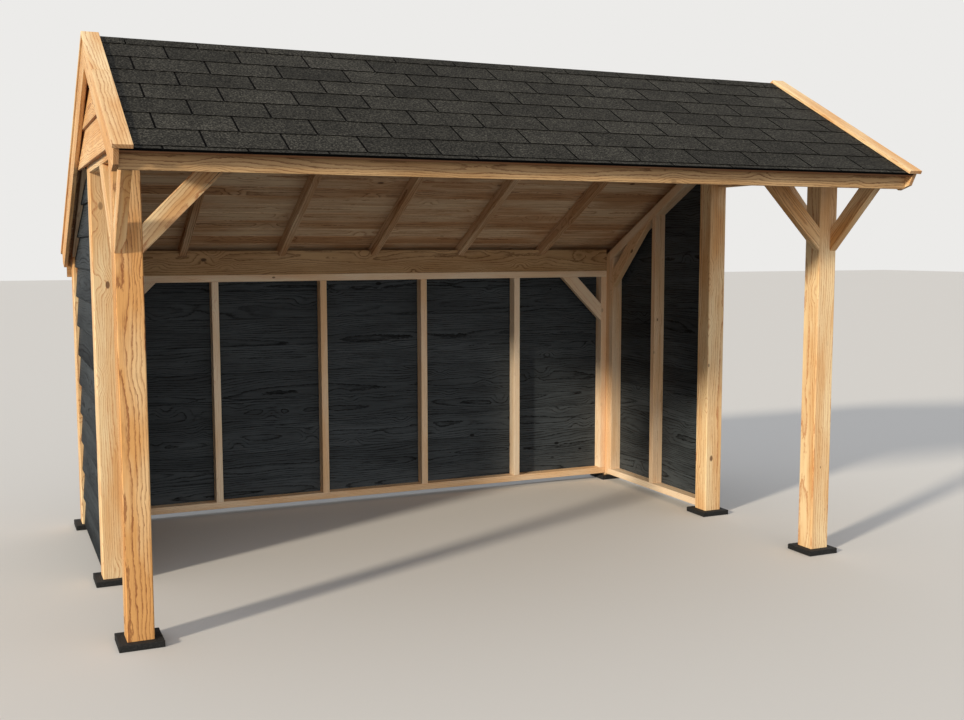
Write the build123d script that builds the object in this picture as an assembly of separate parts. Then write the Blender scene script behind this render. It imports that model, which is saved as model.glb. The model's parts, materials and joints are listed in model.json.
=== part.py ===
from build123d import *
import os
from math import ceil, cos, radians, sin, tan

# Open-fronted garden shelter with six posts, three boarded sides and a saddle roof
# whose ridge lies forward of the middle. All sizes are millimetres. The sizes below are
# laid out from the left front post: x to the right, y to the back, z up from the ground.

# Posts and the rubber pads under them
post = 120.0
post_edge = 4.0
post_span = 3944.0
mid_post_y = 1054.0
rear_post_y = 2382.0
pad_side = 200.0
pad_thick = 30.0

# Beams and the depth to which the rafters are notched over them
beam_bottom = 2166.0
beam_wide = 60.0
side_beam_high = 150.0
front_beam_high = 210.0
front_notch = 25.5
rear_beam_wide = 45.0
rear_beam_high = 160.0
rear_notch = 36.0

# Roof form: the ridge lies forward of the middle, so the rear slope is the longer one
ridge_y = 575.0
front_pitch = 28.1
rear_pitch = 27.3

# Roof layers, each counted square to its slope
cap_thick = 18.0
shingle_thick = 8.0
board_thick = 20.0
rafter_deep = 70.0
rafter_wide = 45.0
rafter_count = 7
ridge_strip = 84.0
ridge_strip_thick = 4.0

# Verges: a flat cap on the edge of the roof and a bargeboard under it
cap_wide = 80.0
cap_out = 56.0
barge_thick = 22.0
barge_deep = 130.0
barge_out = 48.0
barge_setback = 20.0
barge_end_straight = 75.0

# Eaves: a board under each, and how far the roof runs on past the board
eave_board_thick = 20.0
front_board_out = 484.0
front_board_high = 86.0
front_overhang = 90.0
rear_board_out = 12.0
rear_board_high = 128.0
rear_overhang = 39.0
deck_setback = 24.0
shingle_setback = 12.0

# Wall frames
frame_deep = 80.0
frame_thick = 45.0
side_rail_deep = 60.0
sill_bottom = 45.0
rear_stud_count = 6
side_stud_y = 1709.0

# Lapped boards on the walls and in the gables
lap_cover = 183.0
lap_foot = 28.0
lap_head = 13.0
wall_lap_first = 13.0
wall_board_clear = 2.0
gable_lift = 30.0
gable_foot = 26.0
gable_head = 12.0

# Braces
brace_wide = 45.0
brace_high = 90.0
front_brace_leg = 408.0
rear_brace_leg = 333.0
side_brace_angle = 44.0
side_brace_gap = 46.0

# Roof planes: depths are counted from the top of the verge caps, and the front beam
# carries the rafters, so its top gives the height of the ridge
front_tan = tan(radians(front_pitch))
rear_tan = tan(radians(rear_pitch))
board_drop = cap_thick + shingle_thick + board_thick
rail_drop = board_drop + rafter_deep
front_beam_top = beam_bottom + front_beam_high
front_seat = front_beam_top - front_notch
ridge_z = front_seat + ridge_y * front_tan + rail_drop / cos(radians(front_pitch))

# Plan of the roof and the shift that puts the origin under its middle
front_board_y = -front_board_out
roof_front_y = front_board_y - front_overhang
rear_board_y = rear_post_y + post + rear_board_out
roof_rear_y = rear_board_y + eave_board_thick + rear_overhang
verge_in = barge_out - barge_thick
cap_in = cap_wide - cap_out
origin_shift = Pos(-post_span / 2, -(roof_front_y + roof_rear_y) / 2, 0)


def front_z(y, depth):
    """Height on the front slope at y, depth below the verge caps' top."""
    return ridge_z - (ridge_y - y) * front_tan - depth / cos(radians(front_pitch))


def rear_z(y, depth):
    """Height on the rear slope at y, depth below the verge caps' top."""
    return ridge_z - (y - ridge_y) * rear_tan - depth / cos(radians(rear_pitch))


def front_end(setback, depth):
    """Point at the front eave, set back along the slope and square below its top."""
    c, s = cos(radians(front_pitch)), sin(radians(front_pitch))
    top = ridge_z - (ridge_y - roof_front_y) * front_tan
    return (roof_front_y + setback * c + depth * s, top + setback * s - depth * c)


def rear_end(setback, depth):
    """Point at the rear eave, set back along the slope and square below its top."""
    c, s = cos(radians(rear_pitch)), sin(radians(rear_pitch))
    top = ridge_z - (roof_rear_y - ridge_y) * rear_tan
    return (roof_rear_y - setback * c - depth * s, top + setback * s - depth * c)


def block(x0, x1, y0, y1, z0, z1):
    """Plain squared timber between two corners."""
    return Pos((x0 + x1) / 2, (y0 + y1) / 2, (z0 + z1) / 2) * Box(x1 - x0, y1 - y0, z1 - z0)


def prism_x(points, x0, x1):
    """Outline in the side view (y, z), drawn out along x."""
    outline = Polyline(*[(x0, y, z) for y, z in points], close=True)
    return extrude(make_face(outline), amount=x1 - x0, dir=(1, 0, 0))


def prism_y(points, y0, y1):
    """Outline in the front view (x, z), drawn out along y."""
    outline = Polyline(*[(x, y0, z) for x, z in points], close=True)
    return extrude(make_face(outline), amount=y1 - y0, dir=(0, 1, 0))


def mirrored(solid):
    """The same piece on the other side of the shelter."""
    return Pos(post_span, 0, 0) * mirror(solid, about=Plane.YZ)


nodes = {}


def add(name, solids):
    nodes[name] = solids if isinstance(solids, list) else [solids]


def add_pair(name, solids):
    """A left piece and its mirror image on the right."""
    left = solids if isinstance(solids, list) else [solids]
    add(name + "_left", left)
    add(name + "_right", [mirrored(piece) for piece in left])


# Rubber pads, one centred under each post
post_rows = {"front": 0.0, "middle": mid_post_y, "rear": rear_post_y}
pads = []
pad_out = (pad_side - post) / 2
for row_y in post_rows.values():
    pad = block(-pad_out, post + pad_out, row_y - pad_out, row_y + post + pad_out, 0, pad_thick)
    pads += [pad, mirrored(pad)]
add("foot_pads", pads)


# Posts, with eased corners: the front ones carry the beams, the others rise to the
# end rafters
def eased(timber):
    return chamfer(timber.edges().filter_by(Axis.Z), post_edge)


add_pair("post_front", eased(block(0, post, 0, post, pad_thick, beam_bottom)))
for row in ("middle", "rear"):
    row_y = post_rows[row]
    side = [
        (row_y, pad_thick),
        (row_y + post, pad_thick),
        (row_y + post, rear_z(row_y + post, rail_drop)),
        (row_y, rear_z(row_y, rail_drop)),
    ]
    add_pair("post_" + row, eased(prism_x(side, 0, post)))

# Front beam over both front posts, and the side beams from it to the middle posts
front_beam = block(0, post_span, 0, beam_wide, beam_bottom, front_beam_top)
add("front_beam", front_beam)
side_top = beam_bottom + side_beam_high
add_pair("side_beam", block(0, beam_wide, beam_wide, mid_post_y, beam_bottom, side_top))

# Beam between the rear posts, let up into the rafters
rear_beam_top = rear_z(rear_post_y, rail_drop) + rear_notch
rear_beam_bottom = rear_beam_top - rear_beam_high
rear_beam_back = rear_post_y + rear_beam_wide
rear_beam = block(post, post_span - post, rear_post_y, rear_beam_back, rear_beam_bottom, rear_beam_top)
add("rear_beam", rear_beam)

# Rafters: equal bays, the end ones flush with the posts, notched over the beams
rafter_pitch = (post_span - rafter_wide) / (rafter_count - 1)
front_foot_y = front_board_y + eave_board_thick
front_rafter = [
    (front_foot_y, front_z(front_foot_y, board_drop)),
    (ridge_y, front_z(ridge_y, board_drop)),
    (ridge_y, front_z(ridge_y, rail_drop)),
    (front_foot_y, front_z(front_foot_y, rail_drop)),
]
rear_rafter = [
    (ridge_y, rear_z(ridge_y, board_drop)),
    (rear_board_y, rear_z(rear_board_y, board_drop)),
    (rear_board_y, rear_z(rear_board_y, rail_drop)),
    (ridge_y, rear_z(ridge_y, rail_drop)),
]
front_rafters = []
rear_rafters = []
for i in range(rafter_count):
    x0 = i * rafter_pitch
    front_rafters.append(prism_x(front_rafter, x0, x0 + rafter_wide) - front_beam)
    rear_rafters.append(prism_x(rear_rafter, x0, x0 + rafter_wide) - rear_beam)
add("rafters_front", front_rafters)
add("rafters_rear", rear_rafters)

# Boards under the eaves, between the bargeboards
front_board_top = front_z(front_board_y, board_drop)
front_board = [
    (front_board_y, front_board_top - front_board_high),
    (front_foot_y, front_board_top - front_board_high),
    (front_foot_y, front_z(front_foot_y, board_drop)),
    (front_board_y, front_board_top),
]
add("front_eave_board", prism_x(front_board, -verge_in, post_span + verge_in))
rear_foot_y = rear_board_y + eave_board_thick
rear_board_top = rear_z(rear_foot_y, board_drop)
rear_board = [
    (rear_board_y, rear_board_top - rear_board_high),
    (rear_foot_y, rear_board_top - rear_board_high),
    (rear_foot_y, rear_board_top),
    (rear_board_y, rear_z(rear_board_y, board_drop)),
]
add("rear_eave_board", prism_x(rear_board, -verge_in, post_span + verge_in))


# Roof boards and shingles, each slope cut plumb at the ridge
def slope_pair(name, top, bottom, setback):
    front = [
        front_end(setback, top),
        (ridge_y, front_z(ridge_y, top)),
        (ridge_y, front_z(ridge_y, bottom)),
        front_end(setback, bottom),
    ]
    rear = [
        (ridge_y, rear_z(ridge_y, top)),
        rear_end(setback, top),
        rear_end(setback, bottom),
        (ridge_y, rear_z(ridge_y, bottom)),
    ]
    add(name + "_front", prism_x(front, -verge_in, post_span + verge_in))
    add(name + "_rear", prism_x(rear, -verge_in, post_span + verge_in))


slope_pair("roof_boards", cap_thick + shingle_thick, board_drop, deck_setback)
slope_pair("shingles", cap_thick, cap_thick + shingle_thick, shingle_setback)

# Shingle strip folded over the ridge, between the verge caps
strip_front_y = ridge_y - ridge_strip * cos(radians(front_pitch))
strip_rear_y = ridge_y + ridge_strip * cos(radians(rear_pitch))
strip_top = cap_thick - ridge_strip_thick
strip = [
    (strip_front_y, front_z(strip_front_y, cap_thick)),
    (strip_front_y, front_z(strip_front_y, strip_top)),
    (ridge_y, front_z(ridge_y, strip_top)),
    (strip_rear_y, rear_z(strip_rear_y, strip_top)),
    (strip_rear_y, rear_z(strip_rear_y, cap_thick)),
    (ridge_y, rear_z(ridge_y, cap_thick)),
    (ridge_y, front_z(ridge_y, cap_thick)),
]
add("ridge_strip", prism_x(strip, cap_in, post_span - cap_in))

# Verge caps, square at the eaves and plumb at the ridge
front_cap = [
    front_end(0, 0),
    (ridge_y, front_z(ridge_y, 0)),
    (ridge_y, front_z(ridge_y, cap_thick)),
    front_end(0, cap_thick),
]
rear_cap = [
    (ridge_y, rear_z(ridge_y, 0)),
    rear_end(0, 0),
    rear_end(0, cap_thick),
    (ridge_y, rear_z(ridge_y, cap_thick)),
]
add_pair("verge_cap_front", prism_x(front_cap, -cap_out, cap_in))
add_pair("verge_cap_rear", prism_x(rear_cap, -cap_out, cap_in))

# Bargeboards: square end with the lower corner cut off
barge_low = cap_thick + barge_deep
corner = barge_deep - barge_end_straight
front_barge = [
    front_end(barge_setback, cap_thick),
    (ridge_y, front_z(ridge_y, cap_thick)),
    (ridge_y, front_z(ridge_y, barge_low)),
    front_end(barge_setback + corner, barge_low),
    front_end(barge_setback, cap_thick + barge_end_straight),
]
rear_barge = [
    (ridge_y, rear_z(ridge_y, cap_thick)),
    rear_end(barge_setback, cap_thick),
    rear_end(barge_setback, cap_thick + barge_end_straight),
    rear_end(barge_setback + corner, barge_low),
    (ridge_y, rear_z(ridge_y, barge_low)),
]
add_pair("bargeboard_front", prism_x(front_barge, -barge_out, -verge_in))
add_pair("bargeboard_rear", prism_x(rear_barge, -barge_out, -verge_in))


# Lapped boards: each board is thick at its foot and thin at its head
def lapped(first, z0, z1, foot, head):
    """Outline (out, z) of a lapped wall, out counted from its flat back. The lowest
    board has its foot at first and is cut off at z0."""
    points = [(0, z1), (0, z0)]
    for i in range(ceil((z1 - first) / lap_cover)):
        board_foot = first + i * lap_cover
        for z in (max(board_foot, z0), min(board_foot + lap_cover, z1)):
            points.append((foot - (foot - head) * (z - board_foot) / lap_cover, z))
    return points


# Gable boards stand outside the end rafters and reach up to the roof boards
gable_bottom = beam_bottom + gable_lift
gable_front = ridge_y - (front_z(ridge_y, board_drop) - gable_bottom) / front_tan
gable_rear = ridge_y + (rear_z(ridge_y, board_drop) - gable_bottom) / rear_tan
gable_cut = [
    (gable_front, gable_bottom),
    (ridge_y, min(front_z(ridge_y, board_drop), rear_z(ridge_y, board_drop))),
    (gable_rear, gable_bottom),
]
gable_top = gable_cut[1][1]
gable_laps = lapped(gable_bottom, gable_bottom, gable_top, gable_foot, gable_head)
gable_side = [(-out, z) for out, z in gable_laps]
gable = prism_y(gable_side, gable_front, gable_rear) & prism_x(gable_cut, -gable_foot, 0)
add_pair("gable_boards", gable)

# Wall frames: sills, rails and studs, flush with the inner faces of the posts
frame_back = rear_post_y + frame_deep
sill_top = sill_bottom + frame_thick
rail_bottom = rear_beam_bottom - frame_thick
add("rear_sill", block(post, post_span - post, rear_post_y, frame_back, sill_bottom, sill_top))
add("rear_rail", block(post, post_span - post, rear_post_y, frame_back, rail_bottom, rear_beam_bottom))
stud_pitch = (post_span - 2 * post - frame_thick) / (rear_stud_count - 1)
rear_studs = []
for i in range(rear_stud_count):
    x0 = post + i * stud_pitch
    stud = block(x0, x0 + frame_thick, rear_post_y, frame_back, sill_top, rail_bottom)
    rear_studs.append(stud)
add("rear_studs", rear_studs)

# The side frame runs from the middle post to a corner stud that stands full height
# against the rear post, beside the ends of the sill and the rail
side_x0 = post - frame_deep
side_y0 = mid_post_y + post
side_y1 = rear_post_y - frame_thick
add_pair("side_sill", block(side_x0, post, side_y0, side_y1, sill_bottom, sill_top))
rail_low = rail_drop + side_rail_deep
side_rail = [
    (side_y0, rear_z(side_y0, rail_drop)),
    (side_y1, rear_z(side_y1, rail_drop)),
    (side_y1, rear_z(side_y1, rail_low)),
    (side_y0, rear_z(side_y0, rail_low)),
]
add_pair("side_rail", prism_x(side_rail, side_x0, post))
end_stud_y = side_y1 - frame_thick
side_studs = []
for y0, foot_z, depth in (
    (side_stud_y, sill_top, rail_low),
    (end_stud_y, sill_top, rail_low),
    (side_y1, sill_bottom, rail_drop),
):
    y1 = y0 + frame_thick
    stud = [(y0, foot_z), (y1, foot_z), (y1, rear_z(y1, depth)), (y0, rear_z(y0, depth))]
    side_studs.append(prism_x(stud, side_x0, post))
add_pair("side_studs", side_studs)

# Black boards between the posts, outside the frames and just clear of the pads
wall_board_bottom = pad_thick + wall_board_clear
wall_top = rear_z(side_y0, rail_drop)
side_laps = lapped(wall_lap_first, wall_board_bottom, wall_top, lap_foot, lap_head)
side_boards = [(side_x0 - out, z) for out, z in side_laps]
side_cut = [
    (side_y0, 0),
    (rear_post_y, 0),
    (rear_post_y, rear_z(rear_post_y, rail_drop)),
    (side_y0, wall_top),
]
side_wall = prism_y(side_boards, side_y0, rear_post_y) & prism_x(side_cut, side_x0 - lap_foot, side_x0)
add_pair("side_boards", side_wall)
rear_wall_top = rear_z(frame_back + lap_foot, rail_drop)
rear_laps = lapped(wall_lap_first, wall_board_bottom, rear_wall_top, lap_foot, lap_head)
rear_boards = [(frame_back + out, z) for out, z in rear_laps]
add("rear_boards", prism_x(rear_boards, post, post_span - post))

# Braces at the front posts: inwards, forwards to the end rafter, back to the side beam
rise = brace_high * 2 ** 0.5
front_brace_foot = beam_bottom - front_brace_leg
inward = [
    (post, front_brace_foot),
    (post + front_brace_leg, beam_bottom),
    (post + front_brace_leg - rise, beam_bottom),
    (post, front_brace_foot + rise),
]


def meet_front(foot_z):
    """Where a brace edge at 45 degrees, forward from the post, meets the rafter."""
    base = front_z(0, rail_drop)
    run = (base - foot_z) / (1 + front_tan)
    return (-run, foot_z + run)


forward = [
    (0, front_brace_foot),
    meet_front(front_brace_foot),
    meet_front(front_brace_foot + rise),
    (0, front_brace_foot + rise),
]
front_braces = [
    prism_y(inward, 0, brace_wide),
    prism_x(forward, 0, brace_wide),
    prism_x(inward, 0, brace_wide),
]
add_pair("braces_front", front_braces)

# Braces at the rear posts: inwards to the rail, forwards to the sloping side rail
stud_face = post + frame_thick
rear_brace_foot = rail_bottom - rear_brace_leg
inward = [
    (stud_face, rear_brace_foot),
    (stud_face + rear_brace_leg, rail_bottom),
    (stud_face + rear_brace_leg - rise, rail_bottom),
    (stud_face, rear_brace_foot + rise),
]
side_face = end_stud_y
side_tan = tan(radians(side_brace_angle))
side_rise = brace_high / cos(radians(side_brace_angle))
side_brace_run = side_face - side_stud_y - frame_thick - side_brace_gap
side_brace_foot = rear_z(side_face, rail_low) - side_brace_run * (side_tan - rear_tan)


def meet_rail(foot_z):
    """Where a brace edge, forward from the end stud, meets the side rail."""
    run = (rear_z(side_face, rail_low) - foot_z) / (side_tan - rear_tan)
    return (side_face - run, foot_z + run * side_tan)


forward = [
    (side_face, side_brace_foot),
    meet_rail(side_brace_foot),
    meet_rail(side_brace_foot + side_rise),
    (side_face, side_brace_foot + side_rise),
]
rear_braces = [
    prism_y(inward, rear_post_y, rear_post_y + brace_wide),
    prism_x(forward, post - brace_wide, post),
]
add_pair("braces_rear", rear_braces)

os.makedirs("parts", exist_ok=True)
for name, solids in nodes.items():
    placed = [origin_shift * piece for piece in solids]
    flat = [solid for piece in placed for solid in piece.solids()]
    export_step(flat[0] if len(flat) == 1 else Compound(flat), "parts/" + name + ".step")
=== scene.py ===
import json
import math
import random
from collections import namedtuple

import bmesh
import bpy
from mathutils import Matrix, Vector, noise


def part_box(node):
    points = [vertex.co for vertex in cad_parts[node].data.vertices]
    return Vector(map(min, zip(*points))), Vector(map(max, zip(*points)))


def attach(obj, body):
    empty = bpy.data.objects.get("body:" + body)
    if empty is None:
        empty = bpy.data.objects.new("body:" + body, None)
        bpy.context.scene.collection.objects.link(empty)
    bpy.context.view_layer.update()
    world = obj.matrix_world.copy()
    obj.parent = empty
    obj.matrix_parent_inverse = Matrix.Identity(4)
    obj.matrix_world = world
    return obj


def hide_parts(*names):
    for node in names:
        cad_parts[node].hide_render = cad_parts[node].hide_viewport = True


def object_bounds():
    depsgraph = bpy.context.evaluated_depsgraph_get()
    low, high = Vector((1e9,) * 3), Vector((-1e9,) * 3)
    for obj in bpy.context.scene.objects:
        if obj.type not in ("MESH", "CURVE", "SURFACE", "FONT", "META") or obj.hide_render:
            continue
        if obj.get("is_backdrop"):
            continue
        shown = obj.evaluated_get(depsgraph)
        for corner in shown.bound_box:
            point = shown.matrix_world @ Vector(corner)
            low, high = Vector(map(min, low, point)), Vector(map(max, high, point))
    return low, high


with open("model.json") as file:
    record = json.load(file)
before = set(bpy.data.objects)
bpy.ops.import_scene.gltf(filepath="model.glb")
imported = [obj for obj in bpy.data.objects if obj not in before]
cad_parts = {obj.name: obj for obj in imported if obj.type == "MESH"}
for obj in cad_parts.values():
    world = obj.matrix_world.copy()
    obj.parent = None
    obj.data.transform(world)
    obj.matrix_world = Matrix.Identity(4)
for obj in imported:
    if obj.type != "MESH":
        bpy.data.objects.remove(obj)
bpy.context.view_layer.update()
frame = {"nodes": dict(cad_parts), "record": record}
scene = bpy.context.scene
slot_of = {part["node"]: part["material_slot"] for part in frame["record"]["subparts"]}

# The joiner's plan, in millimetres: x and y from the left front post's outer corner, z from the ground
PLAN_MIDDLE = (1972.0, 999.5)
POST = 120.0
POST_SPAN = 3944.0
MIDDLE_POST_BACK = 1174.0
REAR_POST_FRONT = 2382.0
REAR_WALL_Y = 2462.0
SIDE_WALL_IN = 40.0

# Roof: a depth is measured straight into the slope from the top of the verge caps
RIDGE_Y = 575.0
RIDGE_Z = 2789.0
PITCH = {"front": math.radians(28.1), "rear": math.radians(27.3)}
SLOPE = {"front": 1302.5, "rear": 2248.5}
TO_EAVE = {"front": -1, "rear": 1}
ROOF_LEFT = -26.0
ROOF_RIGHT = 3970.0
ROOF_ACROSS = Vector(((ROOF_RIGHT - ROOF_LEFT) / 1000, 0, 0))
SHINGLE_TOP = 18.0
BOARD_TOP = 26.0
BOARD_UNDER = 46.0
CAP_JOINT_DOWN = 500.0
CAP_JOINT_GAP = 0.6

# Roof boards: the seam's gap and the eased corners beside it make a thin dark line from below
BOARD_COVER = 105.0
BOARD_FIRST_SEAM = 58.0
BOARD_NARROWEST = 20.0
BOARD_SETBACK = 24.0
BOARD_GAP = 0.4
BOARD_EASE = 4.5

# Shingle strips: three tabs to a metre. A course shows half a tab's width, and the heads of its tabs
# sink under the next course
TAB_PITCH = 334.7
TAB_SLOT = 9.0
TAB_NARROWEST = 20.0
TAB_EXPOSURE = 166.9
TAB_THICK = 4.8
TAB_SINK = 3.9
TAB_HEAD = 12.0
TAB_UNDERCUT = 3.0
TAB_WANDER = 0.5
TAB_REST = 0.4
TAB_CLEAR = 0.1
TAB_HIGHEST = 16.0
FIRST_SLOT = (135.5, 308.0)
EAVE_SETBACK = 12.0
STARTER_SHOWS = 34.0
VERGE_CLEAR = 1.0
BACKING_TOP = SHINGLE_TOP + 6.2
BACKING_SETBACK = 4.0
BACKING_START = 14.0
FELT_THICK = 3.3
FELT_DROP = 7.0
# Ridge pieces: how far down the slopes they reach, and half of the gaps between tabs and between heads
RIDGE_REACH = 84.0
RIDGE_INSET = 52.0
RIDGE_DEPTH = 14.6
RIDGE_THICK = 3.0
RIDGE_SLOT = 4.0
RIDGE_JOINT = 0.2
LAST_COURSE = RIDGE_REACH + 10

# Lapped boards, wedge-shaped: where they start, the lowest cut, thick foot and thin head
LapBoard = namedtuple("LapBoard", "first lowest foot head")
WALL_BOARD = LapBoard(first=13.0, lowest=32.0, foot=28.0, head=13.0)
GABLE_BOARD = LapBoard(first=2196.0, lowest=2196.0, foot=26.0, head=12.0)
LAP_COVER = 183.0
LAP_REBATE = 11.0
LAP_PLAY = 0.4
LAP_SHOULDER = LAP_REBATE + 0.6
LAP_EASE = 1.6
# The foot's front edge is rounded: how far in and how far up
FOOT_ROUND = ((0.0, 7.0), (1.2, 2.6), (4.0, 0.0))

# How much the edges of planed timber are eased
POST_EASE = 1.0
FRAME_EASE = 2.2
TRIM_EASE = 1.6
# Edges sharper than this, in radians, are eased
SHARP = 0.3

# Rubber pads: worn edges and faces, and crumbs that stand up from a net of short edges
PAD_EASE = 3.0
PAD_NET = 12.0
PAD_WEAR = 1.2
CRUMB_RISE = 1.6
CRUMBS_IN_A_METRE = 130

# Chance takes each timber from somewhere in so many metres of grain
GRAIN_RUN = 20
# A face is a sawn end, or looks a given way, when its normal has this share of that way
END_SHARE = 0.55
LOOKS_SHARE = 0.3

# Seeds for what chance decides in each group of pieces
POST_SEED = 11
FRAME_SEED = 31
WALL_FRAME_SEED = 51
TRIM_SEED = 71
ROOF_BOARD_SEED = {"front": 101, "rear": 102}
REAR_WALL_SEED = 111
SIDE_WALL_SEED = {"left": 120, "right": 122}
GABLE_SEED = {"left": 130, "right": 132}
SHINGLE_SEED = {"front": 201, "rear": 202}
RIDGE_SEED = 203

ALONG_RIDGE = Vector((1, 0, 0))
UP = Vector((0, 0, 1))

# The Mix node's sockets for two colours and for their mixture
COLOUR_A = 6
COLOUR_B = 7
MIXED = 2


def at(x, y, z):
    """A point of the joiner's plan, in millimetres, as metres in the scene."""
    return Vector(((x - PLAN_MIDDLE[0]) / 1000, (y - PLAN_MIDDLE[1]) / 1000, z / 1000))


def on_slope(side, x, down, depth):
    """A point on the roof: so far down from the ridge and so deep under the caps' top."""
    pitch = PITCH[side]
    y = RIDGE_Y + TO_EAVE[side] * (down * math.cos(pitch) - depth * math.sin(pitch))
    z = RIDGE_Z - down * math.sin(pitch) - depth * math.cos(pitch)
    return at(x, y, z)


def off_slope(side):
    """The way straight out of a slope of the roof."""
    return Vector((0, TO_EAVE[side] * math.sin(PITCH[side]), math.cos(PITCH[side])))


def down_slope(side):
    """The way down a slope of the roof."""
    return Vector((0, TO_EAVE[side] * math.cos(PITCH[side]), -math.sin(PITCH[side])))


def linear(hex_value, alpha=1.0):
    """An sRGB hex colour as linear red, green, blue and alpha."""
    parts = [int(hex_value[i:i + 2], 16) / 255 for i in (1, 3, 5)]
    out = [c / 12.92 if c <= 0.04045 else ((c + 0.055) / 1.055) ** 2.4 for c in parts]
    return (*out, alpha)


def join_to(finish, node, links):
    """Joins inputs of a node to sockets, or to the first outputs of other nodes."""
    for key, source in links.items():
        socket = source.outputs[0] if hasattr(source, "outputs") else source
        finish.node_tree.links.new(socket, node.inputs[key])


def add_node(finish, kind, settings=None, links=None):
    """Adds one node to a finish, sets it and joins its inputs. Stops are those of a colour ramp, and
    a range is what a Map Range node takes to what: from low, from high, to low, to high."""
    node = finish.node_tree.nodes.new(kind)
    for key, value in (settings or {}).items():
        if key == "stops":
            ramp = node.color_ramp.elements
            while len(ramp) < len(value):
                ramp.new(0.5)
            for stop, (place, colour) in zip(ramp, value):
                stop.position = place
                stop.color = colour if isinstance(colour, tuple) else (colour, colour, colour, 1)
        elif key == "range":
            for socket, limit in zip(node.inputs[1:5], value):
                socket.default_value = limit
        elif isinstance(key, int) or key in node.inputs:
            node.inputs[key].default_value = value
        else:
            setattr(node, key, value)
    join_to(finish, node, links or {})
    return node


def new_finish(name, rough, gloss=0.5, ior=1.5):
    """An empty finish with its shader ready: (finish, shader)."""
    finish = bpy.data.materials.new(name)
    finish.use_nodes = True
    shader = finish.node_tree.nodes["Principled BSDF"]
    shader.inputs["Roughness"].default_value = rough
    shader.inputs["Specular IOR Level"].default_value = gloss
    shader.inputs["IOR"].default_value = ior
    return finish, shader


# Softwood is sawn from a bent trunk: growth rings lie round the pith and the timber's faces cut them.
# The points carry "grain": metres along, across and through the timber, from its pith.
# How often each feature comes in a metre: along the timber, across it and through it. How often the
# trunk leans along its length is each wood's own; LEANS is for the other two directions.
LEANS = 5.0
RIPPLES = (14.0, 60.0, 60.0)
BRANCHES = (4.6, 8.5, 8.5)
TEARS = (45.0, 170.0, 170.0)
FIBRES = (7.0, 260.0, 260.0)
PATCHES = (1.6, 9.0, 9.0)
CHECK_RUNS = 2.2
RIPPLE_MM = 8.0
# A drying check opens up to twice this width
CHECK_HALF_MM = 1.9
# How far a torn ring line strays, in rings
TEAR = 0.38
# Late wood darkens slowly through the year and stops sharply in winter
LATE_WOOD = [(0.0, 0.15), (0.07, 0.0), (0.46, 0.06), (0.72, 0.38), (0.87, 1.0), (0.95, 0.9), (1.0, 0.15)]


def bent_trunk(finish, grain, lean_mm, bend):
    """Places in a trunk that leans a few centimetres over a metre, which draws the arched figure:
    first the smooth bend, then with the rings' ripples."""
    lean_at = add_node(
        finish, "ShaderNodeVectorMath", {"operation": "MULTIPLY", 1: (bend, LEANS, LEANS)}, {0: grain}
    )
    lean = add_node(finish, "ShaderNodeTexNoise", {"Scale": 1.0, "Detail": 1.5}, {"Vector": lean_at})
    ripple_at = add_node(finish, "ShaderNodeVectorMath", {"operation": "MULTIPLY", 1: RIPPLES}, {0: grain})
    ripple = add_node(
        finish, "ShaderNodeTexNoise", {"Scale": 1.0, "Detail": 5.0, "Roughness": 0.65}, {"Vector": ripple_at}
    )
    place = grain
    places = []
    for wander, reach_mm in ((lean, lean_mm), (ripple, RIPPLE_MM)):
        reach = (0, reach_mm / 1000, reach_mm / 1000)
        both_ways = add_node(
            finish,
            "ShaderNodeVectorMath",
            {"operation": "SUBTRACT", 1: (0.5, 0.5, 0.5)},
            {0: wander.outputs["Color"]},
        )
        shift = add_node(finish, "ShaderNodeVectorMath", {"operation": "MULTIPLY", 1: reach}, {0: both_ways})
        place = add_node(finish, "ShaderNodeVectorMath", {"operation": "ADD"}, {0: place, 1: shift})
        places.append(place)
    return places


def branches(finish, grain):
    """Where a branch meets the face the rings swell round it, and a dead one leaves a dark knot."""
    branch_at = add_node(finish, "ShaderNodeVectorMath", {"operation": "MULTIPLY", 1: BRANCHES}, {0: grain})
    branch = add_node(
        finish, "ShaderNodeTexVoronoi", {"Scale": 1.0, "Randomness": 1.0}, {"Vector": branch_at}
    )
    off_knot = branch.outputs["Distance"]
    kind = add_node(finish, "ShaderNodeSeparateColor", {}, {0: branch.outputs["Color"]})
    thick_branch = add_node(
        finish, "ShaderNodeMapRange", {"range": (0.2, 1.0, 0.0, 3.2)}, {0: kind.outputs["Blue"]}
    )
    swell = add_node(
        finish,
        "ShaderNodeMapRange",
        {"interpolation_type": "SMOOTHERSTEP", "range": (0.52, 0.0, 0.0)},
        {0: off_knot, "To Max": thick_branch},
    )
    knot_size = add_node(
        finish, "ShaderNodeMapRange", {"range": (0.0, 1.0, 0.05, 0.12)}, {0: kind.outputs["Green"]}
    )
    knot_part = add_node(finish, "ShaderNodeMath", {"operation": "DIVIDE"}, {0: off_knot, 1: knot_size})
    core = add_node(
        finish,
        "ShaderNodeMapRange",
        {"interpolation_type": "SMOOTHSTEP", "range": (1.05, 0.7, 0.0, 1.0)},
        {0: knot_part},
    )
    dead = add_node(
        finish, "ShaderNodeMapRange", {"range": (0.5, 0.8, 0.1, 0.85)}, {0: kind.outputs["Red"]}
    )
    knot_shade = add_node(finish, "ShaderNodeMath", {"operation": "MULTIPLY"}, {0: core, 1: dead})
    return swell, knot_shade


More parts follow.
